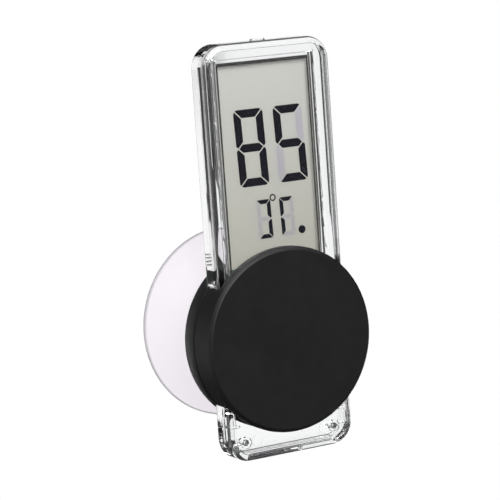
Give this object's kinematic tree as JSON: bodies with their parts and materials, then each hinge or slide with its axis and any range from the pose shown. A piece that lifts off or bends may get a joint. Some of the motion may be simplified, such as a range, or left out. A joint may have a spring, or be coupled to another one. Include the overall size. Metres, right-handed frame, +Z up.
{
  "type": "digital aquarium thermometer",
  "caption": "Clear-cased LCD thermometer clamped in a round black battery housing that turns on a clear suction cup, with a pull-off front cap over the button cell.",
  "frame": {"origin": "centre of the suction cup's rim, in the plane where it meets the tank wall", "axes": "+Y out of the cup's rim into the wall, +Z up along the clear case, +X to the right as the display is read"},
  "size_m": [0.0424, 0.0279, 0.0892],
  "materials": {
    "clear_soft_vinyl": "clear, faint lilac, glossy",
    "clear_case": "water-clear, polished",
    "polarizer_film": "smooth film",
    "lcd_glass": "polished",
    "seal_black": "matt",
    "lcd_ink": "matt",
    "reflector_film": "satin grey film",
    "zebra_rubber": "matt",
    "board_green": "solder mask",
    "epoxy_black": "glossy",
    "resistor_ceramic": "matt",
    "capacitor_ceramic": "matt",
    "contact_metal": "plated spring strip",
    "cell_steel": "nickel plated",
    "gasket_blue": "matt",
    "housing_black": "satin black, fine mould texture",
    "screw_steel": "plain",
    "seal_rubber": "matt",
    "foam_grey": "open foam"
  },
  "bodies": {
    "cup": {"suction_cup": "clear_soft_vinyl"},
    "thermometer": {"case_front": "clear_case", "case_back": "clear_case", "front_polarizer": "polarizer_film", "lcd_front_glass": "lcd_glass", "lcd_seal": "seal_black", "lcd_segments": "lcd_ink", "lcd_rear_glass": "lcd_glass", "rear_polarizer": "reflector_film", "zebra_strip": "zebra_rubber", "circuit_board": "board_green", "chip_blob": "epoxy_black", "thermistor": "epoxy_black", "chip_resistors": "resistor_ceramic", "chip_capacitors": "capacitor_ceramic", "contact_positive": "contact_metal", "contact_negative": "contact_metal", "rear_base": "housing_black", "base_screws": "screw_steel"},
    "cap": {"front_cap": "housing_black", "cap_o_ring": "seal_rubber", "cell_pad": "foam_grey"},
    "cell": {"cell_can": "cell_steel", "cell_gasket": "gasket_blue", "cell_cap": "cell_steel"}
  },
  "joints": [
    {"name": "cup_swivel", "type": "hinge", "parent": "cup", "child": "thermometer", "pos_m": [0, -0.0155, 0], "axis": [0, 1, 0], "continuous": true},
    {"name": "cap_pull", "type": "slide", "parent": "thermometer", "child": "cap", "axis": [0, -1, 0], "range_m": [0, 0.012]},
    {"name": "cell_lift", "type": "slide", "parent": "thermometer", "child": "cell", "axis": [0, -1, 0], "range_m": [0, 0.006]}
  ],
  "couplings": [
    {"joint": "cell_lift", "follows": "cap_pull", "ratio": 0.5}
  ]
}
